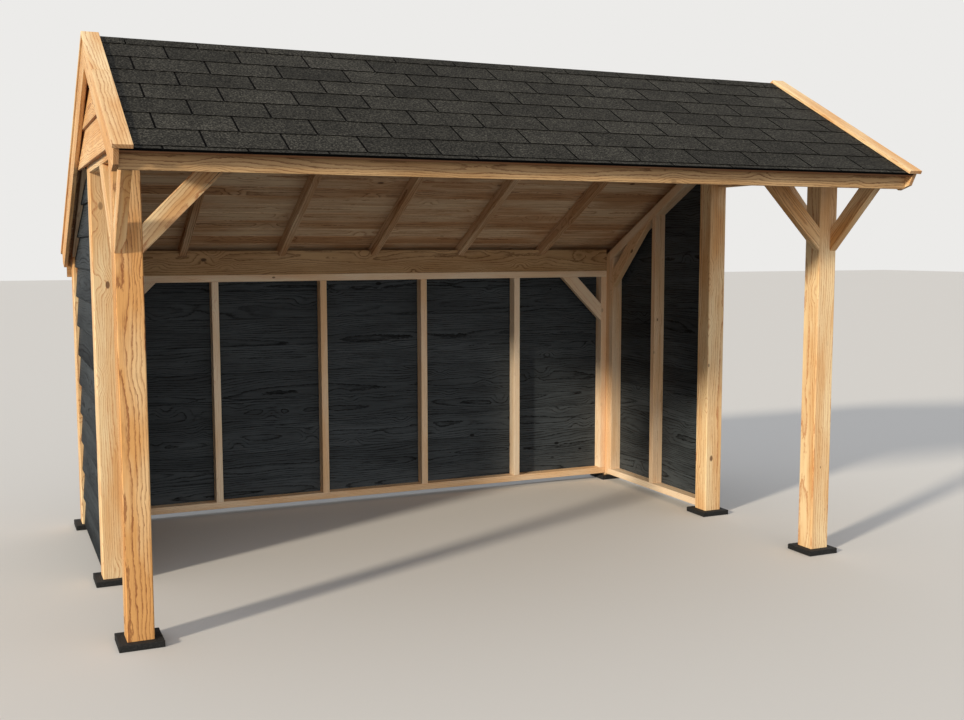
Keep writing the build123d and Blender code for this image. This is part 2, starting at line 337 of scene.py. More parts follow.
def growth_rings(finish, grain, wavy, swell, ring_mm):
    """Lines of late wood round the pith, after good and poor years. They are drawn a little wider
    apart than life, so that they still show from six metres."""
    across = add_node(finish, "ShaderNodeVectorMath", {"operation": "MULTIPLY", 1: (0, 1, 1)}, {0: wavy})
    radius = add_node(finish, "ShaderNodeVectorMath", {"operation": "LENGTH"}, {0: across}).outputs["Value"]
    rings = add_node(finish, "ShaderNodeMath", {"operation": "MULTIPLY", 1: 1000.0 / ring_mm}, {0: radius})
    torn_at = add_node(finish, "ShaderNodeVectorMath", {"operation": "MULTIPLY", 1: TEARS}, {0: grain})
    torn = add_node(finish, "ShaderNodeTexNoise", {"Scale": 1.0, "Detail": 2.0}, {"Vector": torn_at})
    torn_rings = add_node(
        finish, "ShaderNodeMath", {"operation": "MULTIPLY_ADD", 1: TEAR}, {0: torn, 2: rings}
    )
    count = add_node(finish, "ShaderNodeMath", {"operation": "ADD"}, {0: torn_rings, 1: swell})
    ring_part = add_node(finish, "ShaderNodeMath", {"operation": "FRACT"}, {0: count})
    ring_number = add_node(finish, "ShaderNodeMath", {"operation": "FLOOR"}, {0: count})
    good_year = add_node(finish, "ShaderNodeTexWhiteNoise", {"noise_dimensions": "1D"}, {"W": ring_number})
    strength = add_node(finish, "ShaderNodeMapRange", {"range": (0.0, 1.0, 0.5, 1.0)}, {0: good_year})
    late_wood = add_node(finish, "ShaderNodeValToRGB", {"stops": LATE_WOOD}, {0: ring_part})
    return add_node(finish, "ShaderNodeMath", {"operation": "MULTIPLY"}, {0: late_wood, 1: strength})


def drying_check(finish, bent):
    """A drying check opens over the pith and runs with the grain, here and there along a timber."""
    off_pith = add_node(finish, "ShaderNodeSeparateXYZ", {}, {0: bent})
    beside = add_node(finish, "ShaderNodeMath", {"operation": "ABSOLUTE"}, {0: off_pith.outputs["Y"]})
    run = add_node(
        finish,
        "ShaderNodeTexNoise",
        {"noise_dimensions": "1D", "Scale": CHECK_RUNS, "Detail": 1.0},
        {"W": off_pith.outputs["X"]},
    )
    half_wide = add_node(
        finish, "ShaderNodeMapRange", {"range": (0.4, 0.6, 0.0, CHECK_HALF_MM / 1000)}, {0: run}
    )
    there = add_node(finish, "ShaderNodeAttribute", {"attribute_name": "check"}).outputs["Fac"]
    opened = add_node(finish, "ShaderNodeMath", {"operation": "MULTIPLY"}, {0: half_wide, 1: there})
    return add_node(finish, "ShaderNodeMath", {"operation": "LESS_THAN"}, {0: beside, 1: opened})


def warmth_of(finish, grain, tone, patchy):
    """From pale to warm: each timber's own tone, with broad honey and pink patches."""
    patch_at = add_node(finish, "ShaderNodeVectorMath", {"operation": "MULTIPLY", 1: PATCHES}, {0: grain})
    patches = add_node(finish, "ShaderNodeTexNoise", {"Scale": 1.0, "Detail": 3.0}, {"Vector": patch_at})
    patch = add_node(
        finish, "ShaderNodeMapRange", {"range": (0.35, 0.68, -0.25 * patchy, 0.75 * patchy)}, {0: patches}
    )
    return add_node(
        finish,
        "ShaderNodeMath",
        {"operation": "MULTIPLY_ADD", 1: 0.7, "use_clamp": True},
        {0: tone, 2: patch},
    )


def softwood(
    name, early, warm, late_pale, late, knot, ring_mm, ring_strength, fibre, relief_mm, rough, gloss,
    lean_mm, bend, patchy=1.0
):
    """A sawn or planed softwood. Early wood runs from early to warm, ring lines from late_pale to
    late, by the timber's tone. Rings lie ring_mm apart and show by ring_strength, streaks of fibre
    by fibre, and stand up by relief_mm. The trunk leans by lean_mm, bend times in a metre."""
    finish, shader = new_finish(name, rough, gloss)
    grain = add_node(finish, "ShaderNodeAttribute", {"attribute_name": "grain"}).outputs["Vector"]
    tone = add_node(finish, "ShaderNodeAttribute", {"attribute_name": "tone"}).outputs["Fac"]
    cut_end = add_node(finish, "ShaderNodeAttribute", {"attribute_name": "cut_end"}).outputs["Fac"]
    bent, wavy = bent_trunk(finish, grain, lean_mm, bend)
    swell, knot_shade = branches(finish, grain)
    ring_line = growth_rings(finish, grain, wavy, swell, ring_mm)
    check = drying_check(finish, bent)
    # Pale timbers have fainter rings than warm ones
    contrast = add_node(
        finish, "ShaderNodeMapRange", {"range": (0.0, 1.0, 0.7 * ring_strength, ring_strength)}, {0: tone}
    )
    ring_shade = add_node(finish, "ShaderNodeMath", {"operation": "MULTIPLY"}, {0: ring_line, 1: contrast})
    # Fibres, far finer in life, drawn as coarse as the picture can hold
    fibre_at = add_node(finish, "ShaderNodeVectorMath", {"operation": "MULTIPLY", 1: FIBRES}, {0: grain})
    fibres = add_node(
        finish, "ShaderNodeTexNoise", {"Scale": 1.0, "Detail": 3.0, "Roughness": 0.6}, {"Vector": fibre_at}
    )
    streaks = add_node(finish, "ShaderNodeMapRange", {"range": (0.3, 0.7, -fibre, fibre)}, {0: fibres})
    grain_shade = add_node(
        finish, "ShaderNodeMath", {"operation": "ADD", "use_clamp": True}, {0: ring_shade, 1: streaks}
    )
    ground = add_node(
        finish,
        "ShaderNodeMix",
        {"data_type": "RGBA", COLOUR_A: linear(early), COLOUR_B: linear(warm)},
        {0: warmth_of(finish, grain, tone, patchy)},
    )
    line = add_node(
        finish,
        "ShaderNodeMix",
        {"data_type": "RGBA", COLOUR_A: linear(late_pale), COLOUR_B: linear(late)},
        {0: tone},
    )
    ringed = add_node(
        finish,
        "ShaderNodeMix",
        {"data_type": "RGBA"},
        {0: grain_shade, COLOUR_A: ground.outputs[MIXED], COLOUR_B: line.outputs[MIXED]},
    )
    # Sawn ends drink dirt and darken, and other faces marked dark get painted shade the same way; a check is
    # painted dark inside, painted shade in the crack
    end_dirt_and_painted_shade = add_node(finish, "ShaderNodeMath", {"operation": "MULTIPLY", 1: 0.45}, {0: cut_end})
    check_painted_shade = add_node(finish, "ShaderNodeMath", {"operation": "MULTIPLY", 1: 0.85}, {0: check})
    colour = ringed.outputs[MIXED]
    for share, shade in ((knot_shade, knot), (end_dirt_and_painted_shade, late), (check_painted_shade, "#1E120A")):
        layer = add_node(
            finish,
            "ShaderNodeMix",
            {"data_type": "RGBA", COLOUR_B: linear(shade)},
            {0: share, COLOUR_A: colour},
        )
        colour = layer.outputs[MIXED]
    planed = add_node(
        finish, "ShaderNodeMath", {"operation": "MULTIPLY_ADD", 1: 0.6}, {0: ring_line, 2: fibres}
    )
    height = add_node(
        finish, "ShaderNodeMath", {"operation": "MULTIPLY_ADD", 1: -3.0}, {0: check, 2: planed}
    )
    relief = add_node(
        finish, "ShaderNodeBump", {"Strength": 0.6, "Distance": relief_mm / 1000}, {"Height": height}
    )
    join_to(finish, shader, {"Base Color": colour, "Normal": relief})
    return finish


# Fir, planed, not oiled: honey with red-brown ring lines, dull
frame_timber = softwood(
    "planed_fir_frame",
    early="#F7DBAB", warm="#DFA664", late_pale="#BC6C34", late="#7E421A", knot="#5E371D",
    ring_mm=9.5, ring_strength=0.95, fibre=0.2, relief_mm=0.6, rough=0.62, gloss=0.4,
    lean_mm=60, bend=1.3,
)
# Spruce, planed, for the light frame of the walls: paler, with fainter rings
stud_timber = softwood(
    "planed_spruce_studs",
    early="#F7E2C4", warm="#ECC496", late_pale="#C98F5C", late="#A96F3C", knot="#6E4A2C",
    ring_mm=8.0, ring_strength=0.6, fibre=0.14, relief_mm=0.4, rough=0.62, gloss=0.4,
    lean_mm=30, bend=0.8,
)
# The same fir as boards for bargeboards and gables, sawn further from the heart: straighter lines
trim_timber = softwood(
    "planed_fir_trim",
    early="#F3D09C", warm="#E4B072", late_pale="#B25E2C", late="#7C3F18", knot="#5E381D",
    ring_mm=8.0, ring_strength=0.95, fibre=0.16, relief_mm=0.4, rough=0.6, gloss=0.4,
    lean_mm=26, bend=0.9,
)
# Eave boards and the rear beam, a browner wood drawn darker than the frame, partly painted shade for the
# shade they lie in: a strong arched figure
eave_timber = softwood(
    "planed_fir_eave",
    early="#C7A578", warm="#B08A5C", late_pale="#70431F", late="#54300F", knot="#3A2412",
    ring_mm=9.0, ring_strength=1.0, fibre=0.2, relief_mm=0.4, rough=0.62, gloss=0.35,
    lean_mm=65, bend=1.5,
)
# Thin roof boards and rafters, planed, a little browner: seen from below, in shade
roof_timber = softwood(
    "planed_roof_boards",
    early="#EAD0AC", warm="#C89C72", late_pale="#A2683A", late="#744522", knot="#4A2C1A",
    ring_mm=12.0, ring_strength=0.95, fibre=0.24, relief_mm=0.5, rough=0.65, gloss=0.3,
    lean_mm=45, bend=0.8,
)
# Lapped boards, fine-sawn and stained black: the rings stand up and stay darker than the rest
black_stain = softwood(
    "black_stained_boards",
    early="#4C5256", warm="#1A1C1E", late_pale="#050607", late="#050607", knot="#070708",
    ring_mm=13.0, ring_strength=1.2, fibre=0.45, relief_mm=0.9, rough=0.6, gloss=0.1,
    lean_mm=100, bend=1.1, patchy=0.35,
)


def shingle_finish():
    """Bitumen shingles with crushed slate granules: charcoal, no gloss, each tab a shade apart."""
    finish, shader = new_finish("slate_granule_shingle", 0.92, 0.12)
    place = add_node(finish, "ShaderNodeTexCoord").outputs["Object"]
    tone = add_node(finish, "ShaderNodeAttribute", {"attribute_name": "tone"}).outputs["Fac"]
    cut_end = add_node(finish, "ShaderNodeAttribute", {"attribute_name": "cut_end"}).outputs["Fac"]
    # Granules are 1 to 2 mm; drawn as clusters of about 6 mm to show at all
    granules = add_node(
        finish, "ShaderNodeTexNoise", {"Scale": 115.0, "Detail": 4.0, "Roughness": 0.75}, {"Vector": place}
    )
    speckle = add_node(
        finish,
        "ShaderNodeValToRGB",
        {"stops": [(0.35, linear("#121211")), (0.5, linear("#2D2C29")), (0.65, linear("#5D5B54"))]},
        {0: granules},
    )
    blend = add_node(
        finish, "ShaderNodeTexNoise", {"Scale": 7.0, "Detail": 2.0, "Roughness": 0.55}, {"Vector": place}
    )
    cloud = add_node(finish, "ShaderNodeMapRange", {"range": (0.35, 0.65, 0.84, 1.12)}, {0: blend})
    tab_tone = add_node(finish, "ShaderNodeMapRange", {"range": (0.0, 1.0, 0.76, 1.16)}, {0: tone})
    both = add_node(finish, "ShaderNodeMath", {"operation": "MULTIPLY"}, {0: cloud, 1: tab_tone})
    shaded = add_node(finish, "ShaderNodeVectorMath", {"operation": "SCALE"}, {0: speckle, "Scale": both})
    # The cut edges show bare bitumen; the backing under the slots and the felt's edge at the eave are drawn
    # as black, partly painted shade
    black_edges_and_painted_shade = add_node(
        finish,
        "ShaderNodeMix",
        {"data_type": "RGBA", COLOUR_B: linear("#050505")},
        {0: cut_end, COLOUR_A: shaded},
    )
    rise = add_node(finish, "ShaderNodeBump", {"Strength": 0.7, "Distance": 0.0012}, {"Height": granules})
    join_to(finish, shader, {"Base Color": black_edges_and_painted_shade.outputs[MIXED], "Normal": rise})
    return finish


def rubber_finish():
    """Pads of bonded rubber granules: matt black, crumbly, a few grey crumbs."""
    finish, shader = new_finish("bonded_rubber_granules", 0.85, ior=1.52)
    place = add_node(finish, "ShaderNodeTexCoord").outputs["Object"]
    # Crumbs of 3 to 5 mm
    crumbs = add_node(finish, "ShaderNodeTexVoronoi", {"Scale": 190.0}, {"Vector": place})
    shade = add_node(
        finish,
        "ShaderNodeValToRGB",
        {"stops": [(0.0, linear("#0B0B0B")), (0.75, linear("#1B1B1B")), (0.95, linear("#2E2F2F"))]},
        {0: crumbs.outputs["Color"]},
    )
    rise = add_node(
        finish, "ShaderNodeBump", {"Strength": 0.9, "Distance": 0.002, "invert": True}, {"Height": crumbs}
    )
    join_to(finish, shader, {"Base Color": shade, "Normal": rise})
    return finish


finish_of = {
    "frame_timber": frame_timber,
    "trim_timber": trim_timber,
    "roof_boards": roof_timber,
    "black_boards": black_stain,
    "shingle": shingle_finish(),
    "rubber_pad": rubber_finish(),
}


def round_edges(part, width):
    """Takes the sharpness off a timber's edges."""
    sharp = [e for e in part.edges if len(e.link_faces) == 2 and e.calc_face_angle(0) > SHARP]
    bmesh.ops.bevel(
        part,
        geom=sharp,
        offset=width,
        offset_type="OFFSET",
        segments=2,
        profile=0.5,
        affect="EDGES",
        clamp_overlap=True,
    )


def cut_off(part, point, outward):
    """Saws away what lies beyond a plane and closes the cut."""
    geometry = list(part.verts) + list(part.edges) + list(part.faces)
    cut = bmesh.ops.bisect_plane(
        part, geom=geometry, dist=0.00001, plane_co=point, plane_no=outward, clear_outer=True
    )
    edges = [e for e in cut["geom_cut"] if isinstance(e, bmesh.types.BMEdge)]
    if edges:
        bmesh.ops.edgeloop_fill(part, edges=edges)


def skin(part, near, far):
    """Closes a solid between two ends that have the same number of points, and returns its ends."""
    ends = [part.faces.new(near), part.faces.new(list(reversed(far)))]
    count = len(near)
    for i in range(count):
        j = (i + 1) % count
        part.faces.new((near[j], near[i], far[i], far[j]))
    return ends


def prism(outline, way):
    """A solid with the given end outline, pushed along a direction."""
    part = bmesh.new()
    near = [part.verts.new(p) for p in outline]
    far = [part.verts.new(p + way) for p in outline]
    skin(part, near, far)
    bmesh.ops.recalc_face_normals(part, faces=part.faces)
    return part


# A timber as lists: points, faces, the grain, tone and check of each point, and how dark each face is
Timber = namedtuple("Timber", "points faces grain tone check dark")


def measured(part, length, thick, pith, shift, tone, check=0.0, painted_shade_faces=None):
    """A timber with its grain, counted from the pith. Its sawn ends are dark, and so are the faces given
    painted shade, as the way that they look in and how dark they are."""
    width = thick.cross(length)
    middle = sum((v.co for v in part.verts), Vector()) / len(part.verts)
    part.verts.index_update()
    points = [v.co.copy() for v in part.verts]
    faces = [[v.index for v in f.verts] for f in part.faces]
    grain = []
    for p in points:
        away = p - middle
        grain.append((away.dot(length) + shift, away.dot(width) - pith[0], away.dot(thick) - pith[1]))
    part.normal_update()
    dark = [1.0 if abs(f.normal.dot(length)) > END_SHARE else 0.0 for f in part.faces]
    if painted_shade_faces:
        looks, shade = painted_shade_faces
        dark = [shade if f.normal.dot(looks) > LOOKS_SHARE else own for f, own in zip(part.faces, dark)]
    part.free()
    tones = tone if isinstance(tone, list) else [tone] * len(points)
    return Timber(points, faces, grain, tones, [check] * len(points), dark)


def joined(name, timbers, nodes, finish=None):
    """One piece from several timbers, standing for CAD nodes, with the finish of their slot."""
    points, faces, grain, tones, checks, dark = [], [], [], [], [], []
    for timber in timbers:
        start = len(points)
        points += timber.points
        faces += [[start + i for i in face] for face in timber.faces]
        grain += timber.grain
        tones += timber.tone
        checks += timber.check
        dark += timber.dark
    mesh = bpy.data.meshes.new(name)
    mesh.from_pydata(points, [], faces)
    held = mesh.attributes.new("grain", "FLOAT_VECTOR", "POINT")
    held.data.foreach_set("vector", [c for g in grain for c in g])
    carries = {"tone": ("POINT", tones), "check": ("POINT", checks), "cut_end": ("FACE", dark)}
    for label, (domain, values) in carries.items():
        held = mesh.attributes.new(label, "FLOAT", domain)
        held.data.foreach_set("value", values)
    mesh.update()
    slot = slot_of[nodes[0]]
    mesh.materials.append(finish or finish_of[slot])
    piece = bpy.data.objects.new(name, mesh)
    scene.collection.objects.link(piece)
    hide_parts(*nodes)
    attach(piece, "root")
    return piece


def separate_solids(node):
    """Each solid of a CAD node by itself, with its flat faces whole again."""
    whole = bmesh.new()
    whole.from_mesh(frame["nodes"][node].data)
    bmesh.ops.remove_doubles(whole, verts=whole.verts, dist=0.00002)
    bmesh.ops.dissolve_limit(whole, angle_limit=0.006, verts=whole.verts, edges=whole.edges)
    whole.faces.ensure_lookup_table()
    whole.faces.index_update()
    left = set(range(len(whole.faces)))
    solids = []
    while left:
        start = min(left)
        reached = {start}
        waiting = [whole.faces[start]]
        while waiting:
            face = waiting.pop()
            for edge in face.edges:
                for other in edge.link_faces:
                    if other.index not in reached:
                        reached.add(other.index)
                        waiting.append(other)
        left -= reached
        solid = whole.copy()
        solid.faces.ensure_lookup_table()
        others = [f for f in solid.faces if f.index not in reached]
        bmesh.ops.delete(solid, geom=others, context="FACES")
        solids.append(solid)
    whole.free()
    return solids


def grain_way(part):
    """The direction of a timber's longest edge and the normal of its broadest long face."""
    longest = max(part.edges, key=lambda e: e.calc_length())
    length = (longest.verts[1].co - longest.verts[0].co).normalized()
    if length[max(range(3), key=lambda i: abs(length[i]))] < 0:
        length = -length
    sides = [f for f in part.faces if abs(f.normal.dot(length)) < 0.1]
    broad = max(sides, key=lambda f: f.calc_area()).normal.copy()
    thick = (broad - length * broad.dot(length)).normalized()
    return length, thick


def half_size(part, way):
    """Half of a timber's size in a direction."""
    places = [v.co.dot(way) for v in part.verts]
    return (max(places) - min(places)) / 2


def timbers_of(node, seed, edge_mm, heart=None, checks=0.0, joint=None, tone=None, spread=1.0):
    """The timbers of a CAD node, edges eased, each from its own place in its own log. The log's
    heart, in millimetres from the timber's middle, and the tone, from pale to warm, are given or
    left to chance, and spread is how far aside chance may put the heart. Checks is the share of
    timbers with a drying check, and a joint, given as a point and a way, cuts a timber in two."""
    chance = random.Random(seed)
    timbers = []
    parts = separate_solids(node)
    if joint:
        point, way = joint
        half_gap = way * (CAP_JOINT_GAP / 2000)
        further = [part.copy() for part in parts]
        for part in parts:
            cut_off(part, point - half_gap, way)
        for part in further:
            cut_off(part, point + half_gap, -way)
        parts += further
    for part in parts:
        check = 1.0 if chance.random() < checks else 0.0
        length, thick = grain_way(part)
        width = thick.cross(length)
        if heart:
            pith = (Vector(heart).dot(width) / 1000, Vector(heart).dot(thick) / 1000)
        else:
            away = half_size(part, thick) + chance.uniform(0.012, 0.05)
            way = -1 if check else chance.choice((-1, 1))
            aside = chance.uniform(-0.6, 0.6) * (0.3 if check else spread)
            pith = (half_size(part, width) * aside, away * way)
        round_edges(part, edge_mm / 1000)
        shift = chance.uniform(0, GRAIN_RUN)
        own_tone = chance.random() if tone is None else tone
        timbers.append(measured(part, length, thick, pith, shift, own_tone, check))
    return timbers


# Posts: 120 mm square, their long corners already eased in the model. Each has its own tone and
# its own place of the log's heart, in millimetres from the post's middle.
post_logs = {
    "front_left": (0.95, (-48, 15, 0)),
    "front_right": (0.1, (88, 34, 0)),
    "middle_left": (0.1, (105, 38, 0)),
    "middle_right": (0.2, (84, 78, 0)),
    "rear_left": (0.4, (-30, 25, 0)),
    "rear_right": (0.1, (20, -45, 0)),
}
for number, (place, (tone, heart)) in enumerate(post_logs.items()):
    node = "post_" + place
    timbers = timbers_of(node, POST_SEED + number, POST_EASE, heart=heart, tone=tone)
    joined("timber_" + node, timbers, [node])

# Beams, rafters and braces at the front, some of them from a log of their own
frame_nodes = (
    "front_beam side_beam_left side_beam_right rear_beam rafters_front rafters_rear "
    "braces_front_left braces_front_right"
).split()
frame_wood = {"rear_beam": eave_timber, "rafters_front": roof_timber, "rafters_rear": roof_timber}
frame_logs = {
    "rear_beam": {"tone": 0.5},
    "braces_front_left": {"heart": (24, 42, -24), "checks": 1.0, "tone": 0.25},
}
for number, node in enumerate(frame_nodes):
    log = {"checks": 0.2, **frame_logs.get(node, {})}
    timbers = timbers_of(node, FRAME_SEED + number, FRAME_EASE, **log)
    joined("timber_" + node, timbers, [node], frame_wood.get(node))

# The wall frame is of lighter, paler timber
wall_frame_nodes = (
    "rear_sill rear_rail rear_studs side_sill_left side_sill_right side_rail_left side_rail_right "
    "side_studs_left side_studs_right braces_rear_left braces_rear_right"
).split()
for number, node in enumerate(wall_frame_nodes):
    timbers = timbers_of(node, WALL_FRAME_SEED + number, FRAME_EASE)
    joined("timber_" + node, timbers, [node], stud_timber)

# Bargeboards, caps and eave boards; the left front cap is made of two lengths
trim_nodes = (
    "front_eave_board rear_eave_board "
    "bargeboard_front_left bargeboard_front_right bargeboard_rear_left bargeboard_rear_right "
    "verge_cap_front_left verge_cap_front_right verge_cap_rear_left verge_cap_rear_right"
).split()
cap_joint = (on_slope("front", 0, CAP_JOINT_DOWN, 0), down_slope("front"))
# Painted sheen: the right front cap gets the palest tone, standing for the glancing reflection it catches
trim_logs = {"verge_cap_front_left": {"joint": cap_joint}, "verge_cap_front_right": {"tone": 0.0}}
for number, node in enumerate(trim_nodes):
    wood = None
    log = {"spread": 1.8}
    if "eave" in node:
        wood = eave_timber
        log.update(heart=(0, 38 if "front" in node else -38, 24), tone=0.5)
    elif "cap" in node:
        wood = frame_timber
        log.update(heart=(-55 if "left" in node else 55, 0, -62))
    log.update(trim_logs.get(node, {}))
    timbers = timbers_of(node, TRIM_SEED + number, TRIM_EASE, **log)
    joined("timber_" + node, timbers, [node], wood)


def roof_boards(side):
    """Tongued boards along the roof; the lowest one's edge at the eave is drawn dark, painted shade."""
    chance = random.Random(ROOF_BOARD_SEED[side])
    end = SLOPE[side] - BOARD_SETBACK
    seams = [None]
    seam = BOARD_FIRST_SEAM
    while seam < end - BOARD_NARROWEST:
        seams.append(seam)
        seam += BOARD_COVER
    seams.append(end)
    timbers = []
    for upper, lower in zip(seams, seams[1:]):
        if upper is None:
            # The topmost board is cut plumb against the other slope's
            upper_top = BOARD_TOP * math.tan(PITCH[side])
            upper_under = BOARD_UNDER * math.tan(PITCH[side])
        else:
            upper_top = upper_under = upper + BOARD_GAP
        foot = lower - BOARD_GAP
        outline = [
            on_slope(side, ROOF_LEFT, upper_top, BOARD_TOP),
            on_slope(side, ROOF_LEFT, foot, BOARD_TOP),
            on_slope(side, ROOF_LEFT, foot, BOARD_UNDER - BOARD_EASE),
            on_slope(side, ROOF_LEFT, foot - BOARD_EASE, BOARD_UNDER),
            on_slope(side, ROOF_LEFT, upper_under + BOARD_EASE, BOARD_UNDER),
            on_slope(side, ROOF_LEFT, upper_under, BOARD_UNDER - BOARD_EASE),
        ]
        part = prism(outline, ROOF_ACROSS)
        pith = (chance.uniform(-0.03, 0.03), chance.choice((-1, 1)) * chance.uniform(0.02, 0.06))
        shift = chance.uniform(0, GRAIN_RUN)
        tone = chance.random()
        # Painted shade: the lowest board's front edge at the eave is drawn dark, for the shade under the
        # shingles' edge
        painted_shade_faces = (down_slope(side), 2.0) if lower == end else None
        timber = measured(part, ALONG_RIDGE, off_slope(side), pith, shift, tone, painted_shade_faces=painted_shade_faces)
        timbers.append(timber)
    return joined("boards_roof_" + side, timbers, ["roof_boards_" + side])


roof_boards("front")
roof_boards("rear")


def lapped_boards(name, node, seed, board, start, out, way, top_planes):
    """Boards lapped upwards from their back plane's corner: out is the way that they face, way runs
    along them, and the planes trim their tops."""
    chance = random.Random(seed)
    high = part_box(node)[1].z * 1000
    timbers = []
    z = board.first
    while z < high:
        shoulder = z + LAP_SHOULDER
        top = z + LAP_COVER + LAP_REBATE
        outline = [
            (0.0, shoulder + LAP_EASE),
            (0.0, top - LAP_EASE),
            (LAP_EASE, top),
            (board.head - LAP_PLAY, top),
            (board.head - LAP_PLAY / 2, z + LAP_COVER),
            *((board.foot - inward, z + up) for inward, up in FOOT_ROUND),
            (board.head + LAP_PLAY, z),
            (board.head + LAP_PLAY, shoulder),
            (LAP_EASE, shoulder),
        ]
        points = [start + out * (o / 1000) + Vector((0, 0, h / 1000)) for o, h in outline]
        part = prism(points, way)
        if z < board.lowest:
            cut_off(part, Vector((0, 0, board.lowest / 1000)), -UP)
        for point, outward in top_planes:
            cut_off(part, point, outward)
        z += LAP_COVER
        if not part.faces:
            part.free()
            continue
        pith = (chance.uniform(-0.05, 0.05), chance.choice((-1, 1)) * chance.uniform(0.02, 0.05))
        shift = chance.uniform(0, GRAIN_RUN)
        tone = chance.random()
        if slot_of[node] == "black_boards":
            # The outside faces are drawn darker and the inside ones paler, painted shade and painted light,
            # so that the lit outside and the shaded inside read alike
            outside_painted_darker = [(v.co - start).dot(out) * 1000 > board.head for v in part.verts]
            tone = [0.5 + 0.7 * tone if outside else 0.55 * tone for outside in outside_painted_darker]
        # The rounded foot is drawn darker: painted shade for the shade it lies in, and the dirt it holds
        timber = measured(part, way.normalized(), out, pith, shift, tone, painted_shade_faces=(-UP, 1.6))
        timbers.append(timber)
    return joined(name, timbers, [node])


# Rear wall, between the rear posts; its top is level under the roof boards
rear_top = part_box("rear_boards")[1].z
lapped_boards(
    "boards_rear_wall",
    "rear_boards",
    REAR_WALL_SEED,
    WALL_BOARD,
    start=at(POST, REAR_WALL_Y, 0),
    out=Vector((0, 1, 0)),
    way=Vector(((POST_SPAN - 2 * POST) / 1000, 0, 0)),
    top_planes=[(Vector((0, 0, rear_top)), UP)],
)

# Side walls and gables, left and right alike; the side walls' top follows the rear slope
for side, post_face, out in (("left", 0.0, -1), ("right", POST_SPAN, 1)):
    node = "side_boards_" + side
    start = at(post_face - out * SIDE_WALL_IN, MIDDLE_POST_BACK, 0)
    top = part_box(node)[1].z
    lapped_boards(
        "boards_side_wall_" + side,
        node,
        SIDE_WALL_SEED[side],
        WALL_BOARD,
        start=start,
        out=Vector((out, 0, 0)),
        way=Vector((0, (REAR_POST_FRONT - MIDDLE_POST_BACK) / 1000, 0)),
        top_planes=[(Vector((0, start.y, top)), off_slope("rear"))],
    )
    node = "gable_boards_" + side
    low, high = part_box(node)
    lapped_boards(
        "boards_gable_" + side,
        node,
        GABLE_SEED[side],
        GABLE_BOARD,
        start=Vector((at(post_face, 0, 0).x, low.y, 0)),
        out=Vector((out, 0, 0)),
        way=Vector((0, high.y - low.y, 0)),
        top_planes=[(on_slope(slope, 0, 0, BOARD_UNDER), off_slope(slope)) for slope in ("front", "rear")],
    )


def shingle_tab(side, x0, x1, low, high, sink, lift, chance):
    """One tab as a thin plate: lower edge proud and undercut, upper edge under the next course,
    lower corners lifted a little by the sun."""
    across = 6
    down = 3
    wander = chance.uniform(0, 50)
    part = bmesh.new()
    top, under = [], []
    for j in range(down + 1):
        s = low + (high - low) * j / down
        for i in range(across + 1):
            x = x0 + (x1 - x0) * i / across
            depth = SHINGLE_TOP + TAB_REST + sink * j / down
            corner = abs(2 * i / across - 1) ** 3 * (1 - j / down) ** 2
            depth -= lift * corner + TAB_WANDER * noise.noise(Vector((x / 90, s / 70, wander)))
            depth = max(depth, SHINGLE_TOP + TAB_CLEAR)
            undercut = TAB_UNDERCUT if j == 0 else 0.0
            top.append(part.verts.new(on_slope(side, x, s, depth)))
            lower = min(depth + TAB_THICK, BOARD_TOP - TAB_CLEAR)
            under.append(part.verts.new(on_slope(side, x, s - undercut, lower)))
    row = across + 1
    for j in range(down):
        for i in range(across):
            a = j * row + i
            part.faces.new((top[a], top[a + 1], top[a + row + 1], top[a + row]))
            part.faces.new((under[a], under[a + row], under[a + row + 1], under[a + 1]))
    rim = list(range(row))
    rim += [j * row + across for j in range(1, down + 1)]
    rim += [down * row + i for i in range(across - 1, -1, -1)]
    rim += [j * row for j in range(down - 1, 0, -1)]
    for a, b in zip(rim, rim[1:] + rim[:1]):
        part.faces.new((top[b], top[a], under[a], under[b]))
    bmesh.ops.recalc_face_normals(part, faces=part.faces)
    tab = measured(part, ALONG_RIDGE, off_slope(side), (0, 0), 0, chance.random())
    broad = 2 * across * down
    return tab._replace(dark=[0.0] * broad + [1.0] * (len(tab.faces) - broad))


def bitumen_and_painted_shade_layer(side, outline):
    """A layer right across the roof, drawn all black like bare bitumen: its outline gives distance down and
    depth.
    """
    part = prism([on_slope(side, ROOF_LEFT, down, depth) for down, depth in outline], ROOF_ACROSS)
    layer = measured(part, ALONG_RIDGE, off_slope(side), (0, 0), 0, 0.2)
    return layer._replace(dark=[1.0] * len(layer.faces))


